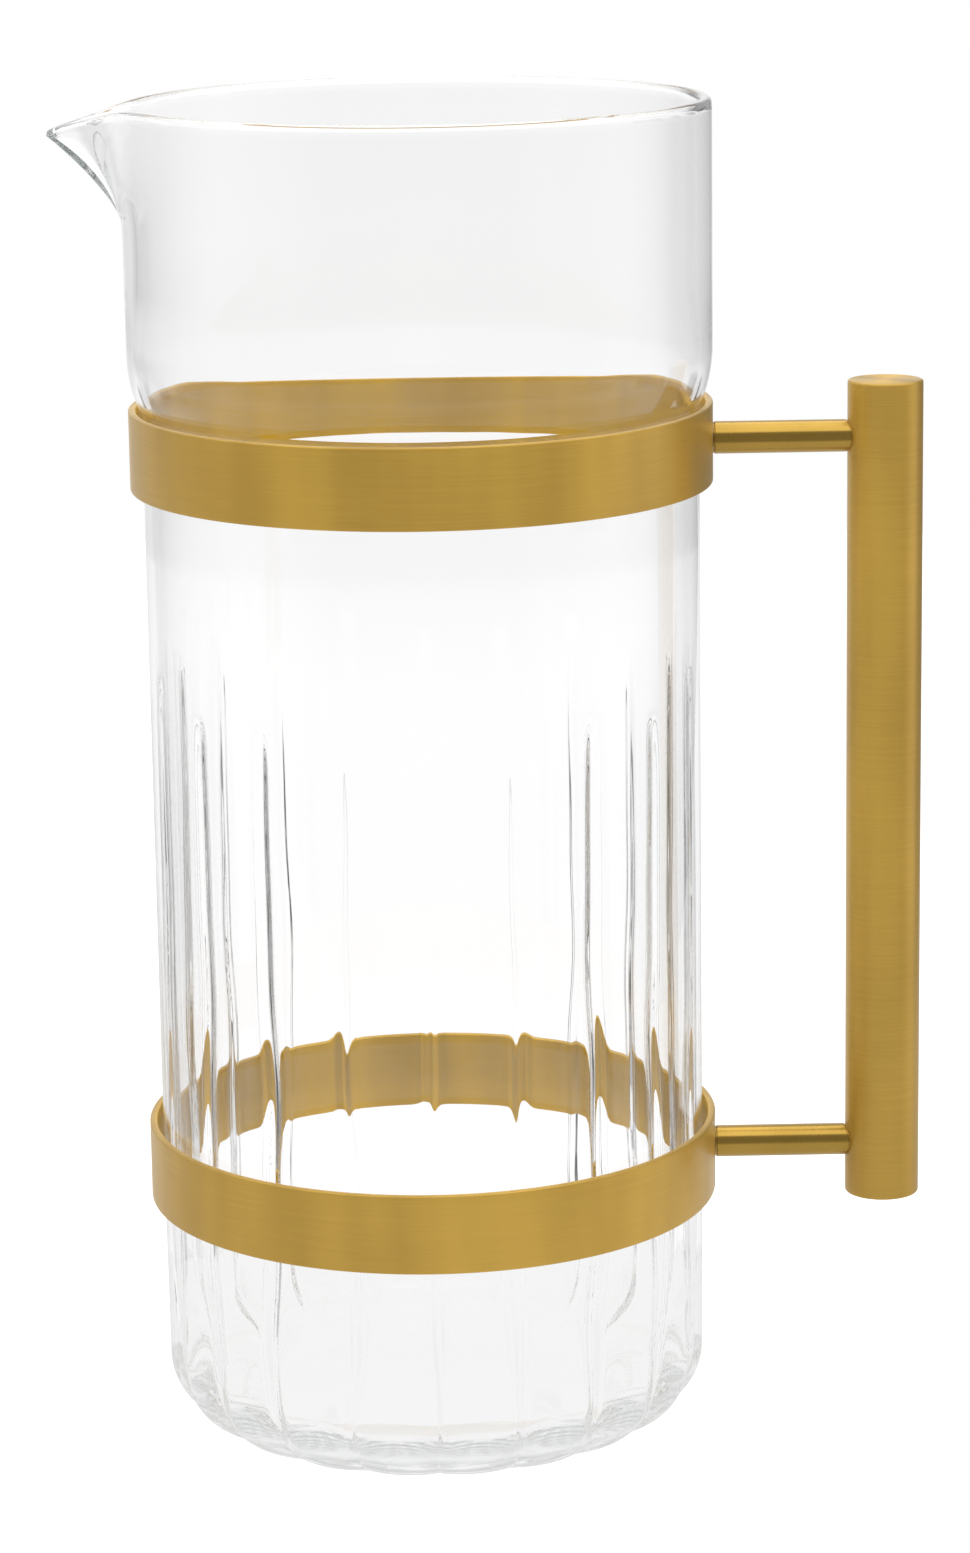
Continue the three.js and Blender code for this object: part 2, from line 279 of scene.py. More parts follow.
class Nodes:
    """Small helper around a node tree: adds nodes, sets their inputs and links them."""

    def __init__(self, tree: NodeTree) -> None:
        """Takes over a tree and empties it."""
        self.tree = tree
        tree.nodes.clear()

    @classmethod
    def of_material(cls, name: str) -> tuple[Material, "Nodes"]:
        """Makes a node material of that name, and returns it with its emptied tree.

        Args:
            name: Name of the material.

        Returns:
            The material, and its emptied tree.
        """
        material = bpy.data.materials.new(name)
        material.use_nodes = True
        return material, cls(material.node_tree)

    def add(self, kind: str, **settings: object) -> Node:
        """Adds a node.

        Args:
            kind: Blender's node type, without ShaderNode in front.
            **settings: Attributes to set on the node.

        Returns:
            The node.
        """
        node = self.tree.nodes.new(f"ShaderNode{kind}")
        for key, value in settings.items():
            setattr(node, key, value)
        return node

    def link(self, source: NodeSocket, target: NodeSocket) -> None:
        """Joins two sockets."""
        self.tree.links.new(source, target)

    def feed(self, node: Node, inputs: dict[str | int, object]) -> None:
        """Sets a node's inputs.

        Args:
            node: The node.
            inputs: Name or place of each input, with the number or colour to set or the socket to link.
        """
        for key, value in inputs.items():
            if isinstance(value, NodeSocket):
                self.link(value, node.inputs[key])
            elif value is not None:
                node.inputs[key].default_value = value

    def object_place(self) -> NodeSocket:
        """Socket of the object's own coordinates."""
        return self.add("TexCoord").outputs["Object"]

    def split(self, vector: NodeSocket) -> Node:
        """Node that splits a vector into X, Y and Z.

        Args:
            vector: Socket of the vector.

        Returns:
            The node, with outputs X, Y and Z.
        """
        node = self.add("SeparateXYZ")
        self.link(vector, node.inputs["Vector"])
        return node

    def noise(self, place: NodeSocket, scale: Sequence[float], detail: float = 2.0,
              roughness: float = 0.5) -> NodeSocket:
        """Noise in space.

        Args:
            place: Socket of the coordinates.
            scale: Waves per metre along each axis.
            detail: Number of finer octaves.
            roughness: Strength of an octave beside the one before.

        Returns:
            Socket of the noise, from 0 to 1.
        """
        mapping = self.add("Mapping")
        self.feed(mapping, {"Vector": place, "Scale": scale})
        node = self.add("TexNoise")
        self.feed(node, {"Vector": mapping.outputs["Vector"], "Scale": 1.0, "Detail": detail,
                         "Roughness": roughness})
        return node.outputs["Fac"]

    def spread(self, source: NodeSocket, span: Pair, reach: Pair,
               shape: str = "LINEAR") -> NodeSocket:
        """Maps one range of values onto another and holds the ends.

        Args:
            source: Socket of the value.
            span: Range that is mapped.
            reach: Values at its two ends.
            shape: Blender's interpolation type.

        Returns:
            The result's socket.
        """
        node = self.add("MapRange", interpolation_type=shape)
        self.feed(node, {"Value": source, "From Min": span[0], "From Max": span[1],
                         "To Min": reach[0], "To Max": reach[1]})
        return node.outputs["Result"]

    def mix(self, factor: NodeSocket, first: object, second: object, **settings: object) -> NodeSocket:
        """Mixes two colours, or two numbers with data_type FLOAT.

        Args:
            factor: Socket of the share of the second.
            first: Socket, colour or number.
            second: Socket, colour or number.
            **settings: Attributes of the mix node.

        Returns:
            The result's socket.
        """
        node = self.add("Mix", **{"data_type": "RGBA", **settings})
        self.feed(node, {"Factor": factor, "A": first, "B": second})
        return node.outputs["Result"]

    def blend(self, switch: NodeSocket, off: NodeSocket, on: NodeSocket) -> NodeSocket:
        """Mixes two shaders: off where the switch is 0, on where it is 1.

        Args:
            switch: Socket from 0 to 1.
            off: Shader at 0.
            on: Shader at 1.

        Returns:
            The mixed shader's socket.
        """
        node = self.add("MixShader")
        self.feed(node, {"Fac": switch, 1: off, 2: on})
        return node.outputs["Shader"]

    def bump(self, height: NodeSocket, distance: float, strength: float) -> NodeSocket:
        """Normal of a fine relief: its height in metres, and the strength with which it shows.

        Args:
            height: Socket of the relief, from 0 to 1.
            distance: Its height in metres.
            strength: Share of it that shows.

        Returns:
            The normal's socket.
        """
        node = self.add("Bump")
        self.feed(node, {"Strength": strength, "Distance": distance, "Height": height})
        return node.outputs["Normal"]

    def principled(self, inputs: dict[str | int, object]) -> NodeSocket:
        """Principled shader with the given inputs.

        Args:
            inputs: Name of each input, with the value or the socket for it.

        Returns:
            The shader's socket.
        """
        node = self.add("BsdfPrincipled")
        self.feed(node, inputs)
        return node.outputs["BSDF"]

    def output(self, surface: NodeSocket, volume: NodeSocket | None = None) -> None:
        """Ends a material's tree in a surface, and in a volume where there is one."""
        self.feed(self.add("OutputMaterial"), {"Surface": surface, "Volume": volume})

    def ramp(self, source: NodeSocket, stops: Stops) -> NodeSocket:
        """Grey ramp over a 0 to 1 input.

        Args:
            source: Socket that drives the ramp.
            stops: Pairs of place and grey level.

        Returns:
            The ramp's colour socket.
        """
        node = self.add("ValToRGB")
        elements = node.color_ramp.elements
        while len(elements) < len(stops):
            elements.new(1.0)
        for element, (place, level) in zip(elements, stops):
            element.position = place
            element.color = (level, level, level, 1.0)
        self.link(source, node.inputs["Fac"])
        return node.outputs["Color"]

    def math(self, operation: str, first: object, second: object = None) -> NodeSocket:
        """Arithmetic on sockets or numbers.

        Args:
            operation: Blender's math operation.
            first: Socket or number.
            second: Socket or number, where the operation takes two.

        Returns:
            The result's socket.
        """
        node = self.add("Math", operation=operation)
        self.feed(node, {0: first, 1: second})
        return node.outputs[0]

    def times(self, first: object, second: object) -> NodeSocket:
        """Product of two sockets, or of a socket and a number."""
        return self.math("MULTIPLY", first, second)

    def less(self, share: NodeSocket) -> NodeSocket:
        """What is left of 1 without a share of it."""
        return self.math("SUBTRACT", 1.0, share)


@dataclass(frozen=True)
class BrassFinish:
    """Satin brass, brushed on the lathe: fine lines run round the axis.

    The lines are noise with short steps along the axis and long ones round it. With broad upright
    zones of tone they vary the colour and the roughness a little, and they raise a fine bump. The
    inside of the hoops, near the vessel's axis, carries painted light: its colour is brightened in
    uneven upright streaks, a painted reflection of the light on it as seen through the glass.
    """

    axis: Axis
    roughness: Pair
    metallic: float
    anisotropy: float = 0.8
    color: Triple = (0.65, 0.404, 0.066)
    streak: Triple = (0.48, 0.290, 0.045)
    lacquer: float = 0.3
    lacquer_roughness: float = 0.2
    lines_per_metre: float = 5200.0
    line_stretch: float = 70.0
    line_detail: float = 5.0
    line_roughness: float = 0.62
    bump_height: float = 0.004 * MM
    bump_strength: float = 0.5
    zones: Triple = (60.0, 60.0, 14.0)
    zone_share: float = 0.76
    tone_span: Pair = (0.3, 0.7)
    # Painted light on the hoops' inside faces: a brightening tint laid on in uneven upright streaks
    # within this radius.
    inside_radius: float = 49.2 * MM
    painted_light_tint: Triple = (1.26, 1.2, 0.34)
    painted_light_streaks: Triple = (150.0, 150.0, 4.0)
    painted_light_detail: float = 3.0
    painted_light_share: Stops = ((0.3, 0.6), (0.7, 1.0))

    def build(self) -> Material:
        """Makes the node material.

        Returns:
            The material.
        """
        material, nodes = Nodes.of_material(f"brushed_brass_{self.axis.name.lower()}")
        place = nodes.object_place()
        scale = [self.line_stretch] * 3
        scale[self.axis.value] = self.lines_per_metre
        brush = nodes.noise(place, scale, self.line_detail, self.line_roughness)
        lines = nodes.times(brush, 1.0 - self.zone_share)
        tone = nodes.math("ADD", lines, nodes.times(nodes.noise(place, self.zones), self.zone_share))
        shade = nodes.spread(tone, self.tone_span, (0.0, 1.0), "SMOOTHSTEP")
        color = nodes.mix(shade, (*self.streak, 1.0), (*self.color, 1.0))
        # Painted light: the hoops' inside faces are brightened in uneven upright streaks, a painted
        # reflection.
        color = nodes.mix(self.inside(nodes, place), color, (*self.painted_light_tint, 1.0),
                          blend_type="MULTIPLY")
        tangent = nodes.add("Tangent", direction_type="UV_MAP", uv_map=UV_NAME)
        nodes.output(nodes.principled({
            "Base Color": color,
            "Metallic": self.metallic,
            "Roughness": nodes.spread(tone, self.tone_span, self.roughness[::-1]),
            "Anisotropic": self.anisotropy,
            "Coat Weight": self.lacquer,
            "Coat Roughness": self.lacquer_roughness,
            "Normal": nodes.bump(brush, self.bump_height, self.bump_strength),
            "Tangent": tangent.outputs["Tangent"],
        }))
        return material

    def inside(self, nodes: Nodes, place: NodeSocket) -> NodeSocket:
        """Share of the painted light on the hoops' inside faces, in uneven upright streaks, which is 0
        from the inside radius on.

        Args:
            nodes: The tree.
            place: Socket of the object's coordinates.

        Returns:
            The share's socket.
        """
        axes = nodes.split(place)
        squares = [nodes.math("POWER", axes.outputs[name], 2.0) for name in ("X", "Y")]
        away = nodes.math("SQRT", nodes.math("ADD", *squares))
        # Uneven upright streaks of the painted light on the hoops' inside faces.
        painted_streak_noise = nodes.noise(place, self.painted_light_streaks, self.painted_light_detail)
        return nodes.times(nodes.math("LESS_THAN", away, self.inside_radius),
                           nodes.ramp(painted_streak_noise, self.painted_light_share))


@dataclass(frozen=True)
class GlassFinish:
    """Clear blown glass with slow upright ripples and a faint grey body colour.

    Light on its way to a lamp passes straight through, so that the glass throws no dark shadow.
    """

    ior: float = 1.5
    sheen: float = 0.5
    ripple_scale: Triple = (90.0, 90.0, 9.0)
    ripple_detail: float = 1.0
    ripple_height: float = 0.05 * MM
    absorption: Triple = (0.86, 0.88, 0.875)
    density: float = 3.5

    def build(self) -> Material:
        """Makes the node material.

        Returns:
            The material.
        """
        material, nodes = Nodes.of_material("blown_glass")
        ripple = nodes.noise(nodes.object_place(), self.ripple_scale, self.ripple_detail)
        glass = nodes.principled({
            "Base Color": (1.0, 1.0, 1.0, 1.0),
            "Roughness": 0.0,
            "IOR": self.ior,
            "Specular Tint": (self.sheen, self.sheen, self.sheen, 1.0),
            "Transmission Weight": 1.0,
            "Normal": nodes.bump(ripple, self.ripple_height, 1.0),
        })
        path = nodes.add("LightPath")
        light = nodes.add("BsdfTransparent")
        body = nodes.add("VolumeAbsorption")
        nodes.feed(body, {"Color": (*self.absorption, 1.0), "Density": self.density})
        surface = nodes.blend(path.outputs["Is Shadow Ray"], glass, light.outputs["BSDF"])
        nodes.output(surface, body.outputs["Volume"])
        return material


@dataclass(frozen=True)
class SiliconeFinish:
    """Clear silicone strip: a thin pale film with a matt, slightly cloudy face."""

    color: Triple = (0.86, 0.86, 0.84)
    alpha: float = 0.02
    ior: float = 1.41
    specular: float = 0.2
    roughness: Pair = (0.4, 0.6)
    cloud_scale: Triple = (700.0, 700.0, 700.0)

    def build(self) -> Material:
        """Makes the node material.

        Returns:
            The material.
        """
        material, nodes = Nodes.of_material("clear_silicone")
        cloud = nodes.noise(nodes.object_place(), self.cloud_scale)
        nodes.output(nodes.principled({
            "Base Color": (*self.color, 1.0),
            "Roughness": nodes.spread(cloud, (0.0, 1.0), self.roughness),
            "IOR": self.ior,
            "Alpha": self.alpha,
            "Specular IOR Level": self.specular,
        }))
        return material


@dataclass(frozen=True)
class SteelFinish:
    """Stainless steel of the screws and studs, with fine turning marks."""

    color: Triple = (0.42, 0.42, 0.41)
    streak: Triple = (0.30, 0.30, 0.30)
    roughness: float = 0.35
    mark_scale: Triple = (6000.0, 300.0, 300.0)

    def build(self) -> Material:
        """Makes the node material.

        Returns:
            The material.
        """
        material, nodes = Nodes.of_material("turned_steel")
        marks = nodes.noise(nodes.object_place(), self.mark_scale)
        nodes.output(nodes.principled({
            "Base Color": nodes.mix(marks, (*self.streak, 1.0), (*self.color, 1.0)),
            "Metallic": 1.0,
            "Roughness": self.roughness,
        }))
        return material


@dataclass
class GlassVessel:
    """The ribbed vessel with its pulled pouring lip, as one closed wall."""

    body_radius: float = 47.7 * MM
    body_wall: float = 1.6 * MM
    collar_wall: float = 1.75 * MM
    lip_wall: float = 2.3 * MM
    collar_swell: float = 0.055
    swell_top: Pair = (6.0 * MM, 10.0 * MM)
    floor_thickness: float = 5.0 * MM
    base_corner: float = 12.0 * MM
    inner_corner: float = 9.0 * MM
    shoulder_radius: float = 25.0 * MM
    shoulder_lift: float = -0.8 * MM
    rib_count: int = 20
    rib_columns: int = 28
    rib_crowding: float = 0.7
    rib_height: float = 0.95 * MM
    rib_width: float = 1.0 * MM
    rib_front: float = 0.5
    rib_top: float = 133.0 * MM
    rib_spread: float = 3.0 * MM
    rib_top_phase: float = 2.4
    rib_height_phase: float = 3.1
    rib_height_spread: float = 0.15
    rib_aside: Pair = (0.25, 0.6)
    rib_waves: tuple[Triple, ...] = ((90.0 * MM, 1.7, 1.0), (31.0 * MM, 2.9, 0.4))
    rib_head: float = 0.6
    rib_head_length: float = 5.0 * MM
    rib_run: float = 85.0 * MM
    rib_wander: float = 0.8 * MM
    lobe_depth: float = 1.4 * MM
    lobe_top: float = 34.0 * MM
    spout_foot: float = 19.3 * MM
    spout_run_in: float = 6.0 * MM
    spout_fall: float = 0.33
    spout_width: float = math.radians(5.7)
    spout_thinning: float = 0.74
    thin_width: float = math.radians(3.2)
    nose_round: float = math.radians(1.7)
    lean_curve: float = 0.36
    foot_round: float = 0.08
    slope_start: float = 0.02
    slope_rate: float = 4.0

    def __post_init__(self) -> None:
        """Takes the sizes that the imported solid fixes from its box."""
        low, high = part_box("glass_body")
        self.height = high.z
        self.collar_radius = high.y
        self.reach = -low.x - self.collar_radius
        self.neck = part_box("upper_band")[1].z + self.shoulder_lift
        flare = self.collar_radius - self.body_radius
        self.shoulder_angle = math.acos(1.0 - flare / self.shoulder_radius)
        self.collar_bottom = self.neck + self.shoulder_radius * math.sin(self.shoulder_angle)
        self.lip = self.height - self.lip_wall / 2
        self.foot = self.height - self.spout_foot
        self.run_in = self.foot - self.spout_run_in

    def outside(self) -> np.ndarray:
        """Outer profile (r, z) from the base up to the lip.

        Returns:
            Array of points.
        """
        corner = self.body_radius - self.base_corner
        return join(
            line((corner / 4, 0.0), (corner, 0.0), 3),
            arc((corner, self.base_corner), self.base_corner, -math.pi / 2, 0.0, 14),
            line((self.body_radius, self.base_corner), (self.body_radius, self.lobe_top), 6),
            line((self.body_radius, self.lobe_top), (self.body_radius, self.neck), 6),
            arc((self.collar_radius - self.shoulder_radius, self.collar_bottom), self.shoulder_radius,
                -self.shoulder_angle, 0.0, 10),
            line((self.collar_radius, self.collar_bottom), (self.collar_radius, self.run_in), 2),
            line((self.collar_radius, self.run_in), (self.collar_radius, self.lip), 20),
        )

    def over_lip(self) -> np.ndarray:
        """Half-round profile over the lip, without its end points."""
        radius = self.lip_wall / 2
        return arc((self.collar_radius - radius, self.lip), radius, 0.0, math.pi, 10)[1:-1]

    def inside(self) -> np.ndarray:
        """Inner profile (r, z) from the lip down to the floor.

        The collar's wall swells upwards by collar_swell of the rise. Over swell_top, its start and
        length, it turns back and runs straight on, to end at lip_wall.

        Returns:
            Array of points.
        """
        radius = self.body_radius - self.body_wall
        collar = self.collar_radius - self.collar_wall
        bend = self.shoulder_radius - self.collar_wall
        angle = math.acos(1.0 - (collar - radius) / bend)
        rise = np.concatenate([np.linspace(self.lip, self.run_in, 21),
                               np.linspace(self.run_in, self.collar_bottom, 9)[1:]])
        up = rise - self.collar_bottom
        start, width = self.swell_top
        t = np.clip((up - start) / width, 0.0, 1.0)
        turned = width * (t ** 3 - t ** 4 / 2) + np.maximum(up - start - width, 0.0)
        swell = self.collar_swell * up
        thin = (self.collar_wall - self.lip_wall + swell[0]) * turned / turned[0] - swell
        floor = self.floor_thickness
        corner = radius - self.inner_corner
        above = self.rib_top + 2 * self.rib_spread
        below = self.rib_top - 2 * self.rib_head_length - self.rib_spread
        return join(
            np.stack([collar + thin, rise], 1),
            arc((collar - bend, self.collar_bottom), bend, 0.0, -angle, 10),
            line((radius, self.collar_bottom - bend * math.sin(angle)), (radius, above), 2),
            line((radius, above), (radius, below), 22),
            line((radius, below), (radius, floor + self.inner_corner), 26),
            arc((corner, floor + self.inner_corner), self.inner_corner, 0.0, -math.pi / 2, 12),
            line((corner, floor), (corner / 4, floor), 3),
        )

    def angles(self) -> np.ndarray:
        """Column angles, crowded at the ribs: t - c sin(2 pi t) / (2 pi) from rib to rib.

        Returns:
            Angles in radians.
        """
        t = np.arange(self.rib_columns) / self.rib_columns
        t = t - self.rib_crowding * np.sin(TURN * t) / TURN
        return ((np.arange(self.rib_count)[:, None] + t) * TURN / self.rib_count).ravel()

    def ribs(self, angle: np.ndarray, z: np.ndarray) -> np.ndarray:
        """Height of the ribs on the inner wall: exp(-(y / w)^2) across, growing down from a round head.

        Each rib has its own top and height and wanders to the side in waves of a length, a phase from
        rib to rib and a strength, as blown glass does. The ribs towards the lip and the handle stand
        higher than those in front and behind.

        Args:
            angle: Column angles.
            z: Row heights.

        Returns:
            Height for each row and column.
        """
        phase = angle * self.rib_count / TURN
        number = np.round(phase)
        own = number % self.rib_count
        top = self.rib_top + self.rib_spread * np.sin(self.rib_top_phase * own)
        down = np.maximum(top - z, 0.0)
        head = self.rib_head * (1.0 - np.exp(-down / self.rib_head_length))
        grown = head + (1.0 - self.rib_head) * np.minimum(down / self.rib_run, 1.0)
        waves = sum(strength * np.sin(TURN * z / length + step * own)
                    for length, step, strength in self.rib_waves)
        drift = self.rib_wander * waves * np.minimum(down / self.rib_run, 1.0)
        off = (phase - number) * TURN / self.rib_count * (self.body_radius - self.body_wall) - drift
        aside = smoothstep(np.abs(np.cos(own * TURN / self.rib_count)), *self.rib_aside)
        uneven = 1.0 + self.rib_height_spread * np.sin(self.rib_height_phase * own)
        tall = (self.rib_front + (1.0 - self.rib_front) * aside) * uneven
        return self.rib_height * tall * grown * np.exp(-((off / self.rib_width) ** 2))

    def lobes(self, angle: np.ndarray, z: np.ndarray) -> np.ndarray:
        """Depth of the scallops of the base: u^2 from lobe to lobe, fading out upwards.

        Args:
            angle: Column angles.
            z: Row heights.

        Returns:
            Depth for each row and column.
        """
        phase = angle * self.rib_count / TURN
        across = 2.0 * np.abs(phase - np.round(phase))
        return self.lobe_depth * (1.0 - smoothstep(z, 0.0, self.lobe_top)) * (1.0 - across) ** 2

    def points(self) -> np.ndarray:
        """The vessel's grid: profile rows, with the lobes, ribs and lip worked in.

        The lip is pulled out by reach exp(-a / w) about its nose and leans out as it rises. The wall
        keeps its thickness t across the slopes s, round, and m, upwards, by a depth of
        t sqrt(1 + s^2 + m^2), and thins towards the nose.

        Returns:
            Array of rows x columns x 3.
        """
        runs = [self.outside(), self.over_lip(), self.inside()]
        turn = np.linspace(0.0, math.pi, len(runs[1]) + 2)[1:-1]
        inner = np.concatenate([np.zeros(len(runs[0])), (1.0 - np.cos(turn)) / 2,
                                np.ones(len(runs[2]))])[:, None]
        profile = np.concatenate(runs)
        angle = self.angles()[None, :]
        r, z = profile[:, :1], profile[:, 1:]
        share = r / self.body_radius
        r = r - share * (inner == 0.0) * self.lobes(angle, z)
        r = r - share * (inner == 1.0) * (z < self.neck) * self.ribs(angle, z)
        off = np.sqrt((angle - math.pi) ** 2 + self.nose_round ** 2) - self.nose_round
        taper = np.exp(-off / self.spout_width)
        climb = np.minimum((z - self.foot) / (self.lip - self.foot), 1.0)
        climb = 0.5 * (climb + np.sqrt(climb ** 2 + self.foot_round ** 2)) * (z > self.neck)
        lean = climb * (1.0 - self.lean_curve * (1.0 - climb))
        over = self.reach * taper * lean
        rise = self.lip - self.foot - self.spout_fall * self.reach
        sideways = over / (self.spout_width * self.collar_radius)
        slope = 1.0 - self.lean_curve + 2.0 * self.lean_curve * climb
        upwards = self.reach * taper * slope / rise * (climb > self.slope_start)
        even = np.where(inner == 1.0, self.collar_radius - profile[:, :1], self.lip_wall)
        wall = even * (1.0 - self.spout_thinning * lean * np.exp(-((off / self.thin_width) ** 2)))
        upwards = upwards * np.minimum(1.0, self.slope_rate * climb)
        depth = wall * np.sqrt(1.0 + sideways ** 2 + upwards ** 2)
        r = r + over - inner * (depth - even) * (z > self.neck)
        z = z - self.spout_fall * self.reach * taper * climb
        return np.stack([r * np.cos(angle), r * np.sin(angle), z], -1)

    def build(self, glass: Material) -> Object:
        """Makes the vessel."""
        piece = grid_piece("ribbed_vessel", self.points(), Ends.POLES)
        return dress(piece, glass, "glass", "glass_body")


@dataclass
class Hoop:
    """One brass band with its silicone liner and the screw that holds the post."""

    level: str
    edge: float = 0.3 * MM
    columns: int = 480
    head_depth: float = 1.1 * MM
    head_gap: float = 0.1 * MM
    thread_radius: float = 1.5 * MM
    key_width: float = 2.0 * MM
    key_depth: float = 0.7 * MM
    key_pole: float = 0.3
    screw_columns: int = 48
    screw_sharp: float = math.radians(30.0)
    crowding: float = 0.8
    liner_wall: float = 0.6 * MM

    def __post_init__(self) -> None:
        """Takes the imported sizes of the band, the liner and the screw."""
        low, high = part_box(f"{self.level}_band")
        self.bottom, self.top, self.outer = low.z, high.z, high.y
        liner_low, liner_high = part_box(f"{self.level}_liner")
        self.liner_bottom, self.liner_top, self.liner_outer = liner_low.z, liner_high.z, liner_high.y
        screw_low, screw_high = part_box(f"{self.level}_band_screw")
        self.inner, self.screw_tip = screw_low.x, screw_high.x
        self.head_radius = (screw_high.z - screw_low.z) / 2
        self.axis_z = (screw_high.z + screw_low.z) / 2

    def band_angles(self) -> np.ndarray:
        """Columns round the band, closer together at the screw, by a - s sin(a) with s below 1."""
        a = even_angles(self.columns)
        return a - self.crowding * np.sin(a)

    def band(self, brass: Material) -> Object:
        """Makes the band with the countersunk seat of its screw.

        The seat is a cone in the inner wall: as deep as the head on the screw's axis, 0 at the
        head's edge.

        Args:
            brass: Its material.

        Returns:
            The finished piece.
        """
        profile = ring_outline((self.inner, self.outer), (self.bottom, self.top), self.edge, 5, (6, 60))
        angle = self.band_angles()
        points = revolve(profile, angle)
        off = np.hypot(points[..., 1], points[..., 2] - self.axis_z)
        rim = self.head_radius + self.head_gap
        fall = np.clip((rim - off) / (rim - self.thread_radius), 0.0, 1.0)
        seat = self.head_depth * fall * (points[..., 0] > 0.0) * (profile[:, :1] < self.inner + 1e-6)
        points[..., 0] += seat * np.cos(angle)
        points[..., 1] += seat * np.sin(angle)
        piece = grid_piece(f"{self.level}_hoop", points, Ends.LOOP)
        return dress(piece, brass, "frame", f"{self.level}_band")

    def liner(self, silicone: Material) -> Object:
        """Makes the silicone strip inside the band.

        Args:
            silicone: Its material.

        Returns:
            The finished piece.
        """
        radii = (self.liner_outer - self.liner_wall, self.liner_outer)
        levels = (self.liner_bottom, self.liner_top)
        profile = ring_outline(radii, levels, self.liner_wall / 4, 3, (1, 1))
        points = revolve(profile, even_angles(self.columns // 2))
        piece = grid_piece(f"{self.level}_strip", points, Ends.LOOP)
        return dress(piece, silicone, "frame", f"{self.level}_liner")

    def screw(self, steel: Material) -> Object:
        """Makes the countersunk screw with its hexagon key hole, lying along X.

        Rings of the key hole follow a hexagon, radius w / (2 cos b) with b folded into one sixth of
        a turn.

        Args:
            steel: Its material.

        Returns:
            The finished piece.
        """
        around = even_angles(self.screw_columns)
        fold = (around + math.pi / 6) % (math.pi / 3) - math.pi / 6
        key = self.key_width / 2 / np.cos(fold)
        circle = np.ones_like(around)
        rings = [
            (key * self.key_pole, self.inner + self.key_depth),
            (key, self.inner + self.key_depth),
            (key, self.inner),
            (circle * self.head_radius, self.inner),
            (circle * self.thread_radius, self.inner + self.head_depth),
            (circle * self.thread_radius, self.screw_tip),
            (circle * self.thread_radius * self.key_pole, self.screw_tip),
        ]
        r = np.stack([ring[0] for ring in rings])
        x = np.array([ring[1] for ring in rings])[:, None]
        points = np.stack([np.broadcast_to(x, r.shape), r * np.cos(around),
                           self.axis_z + r * np.sin(around)], -1)
        piece = grid_piece(f"{self.level}_countersunk_screw", points, Ends.POLES)
        piece.data.set_sharp_from_angle(angle=self.screw_sharp)
        return dress(piece, steel, "frame", f"{self.level}_band_screw")


@dataclass
class Handle:
    """The upright grip bar and the two posts that carry it on the hoops."""

    bar_edge: float = 0.45 * MM
    bar_columns: int = 160
    post_columns: int = 96
    joint_relief: float = 0.16 * MM
    joint_width: float = 0.28 * MM
    cope_gap: float = 0.12 * MM
    bar_pole: float = 6.0
    post_pole: float = 0.2
    post_sharp: float = math.radians(35.0)

    def __post_init__(self) -> None:
        """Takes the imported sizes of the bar."""
        low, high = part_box("handle_bar")
        self.bar_x = (low.x + high.x) / 2
        self.bar_radius = (high.x - low.x) / 2
        self.bar_bottom, self.bar_top = low.z, high.z

    def bar(self, brass: Material) -> Object:
        """Makes the bar: a rod with flat ends and rounded edges.

        Args:
            brass: Its material.

        Returns:
            The finished piece.
        """
        e, r = self.bar_edge, self.bar_radius
        profile = join(
            line((r / self.bar_pole, self.bar_bottom), (r - e, self.bar_bottom), 4),
            arc((r - e, self.bar_bottom + e), e, -math.pi / 2, 0.0, 6),
            line((r, self.bar_bottom + e), (r, self.bar_top - e), 60),
            arc((r - e, self.bar_top - e), e, 0.0, math.pi / 2, 6),
            line((r - e, self.bar_top), (r / self.bar_pole, self.bar_top), 4),
        )
        points = revolve(profile, even_angles(self.bar_columns), (self.bar_x, 0.0))
        return dress(grid_piece("grip_bar", points, Ends.POLES), brass, "frame", "handle_bar")

    def post(self, level: str, brass: Material) -> Object:
        """Makes one post, coped to its hoop and necked where it enters the bar.

        Rows keep their distance from the round of the hoop, x = sqrt(R^2 - y^2), and of the bar,
        x = X - sqrt(r^2 - y^2), so that both joints are true saddles.

        Args:
            level: Which hoop it stands on.
            brass: Its material.

        Returns:
            The finished piece.
        """
        low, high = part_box(f"{level}_post")
        radius, height, end = (high.z - low.z) / 2, (high.z + low.z) / 2, high.x
        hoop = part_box(f"{level}_band")[1].y
        a = even_angles(self.post_columns)
        w = self.joint_width
        pole, neck = self.post_pole * radius, radius - self.joint_relief
        r = np.array([pole, neck, neck, radius, radius, neck, neck, pole])
        y = r[:, None] * np.cos(a)
        near = np.sqrt(hoop ** 2 - y ** 2) + self.cope_gap
        far = self.bar_x - np.sqrt(self.bar_radius ** 2 - y ** 2)
        x = np.stack([near[0], near[1], near[2] + w / 2, near[3] + w, far[4] - w, far[5] - w / 2,
                      np.full_like(a, end), np.full_like(a, end)])
        z = height + r[:, None] * np.sin(a)
        piece = grid_piece(f"{level}_rod", self.fill_rows(np.stack([x, y, z], -1)), Ends.POLES)
        piece.data.set_sharp_from_angle(angle=self.post_sharp)
        return dress(piece, brass, "frame", f"{level}_post")

    @staticmethod
    def fill_rows(points: np.ndarray, steps: int = 24) -> np.ndarray:
        """Puts even rows into the one long span of a post's grid, between rows 3 and 4.

        Args:
            points: Grid with one long span.
            steps: Spans to make of it.

        Returns:
            The finer grid.
        """
        t = np.linspace(0.0, 1.0, steps + 1)[1:-1, None, None]
        middle = points[3] * (1.0 - t) + points[4] * t
        return np.concatenate([points[:4], middle, points[4:]])


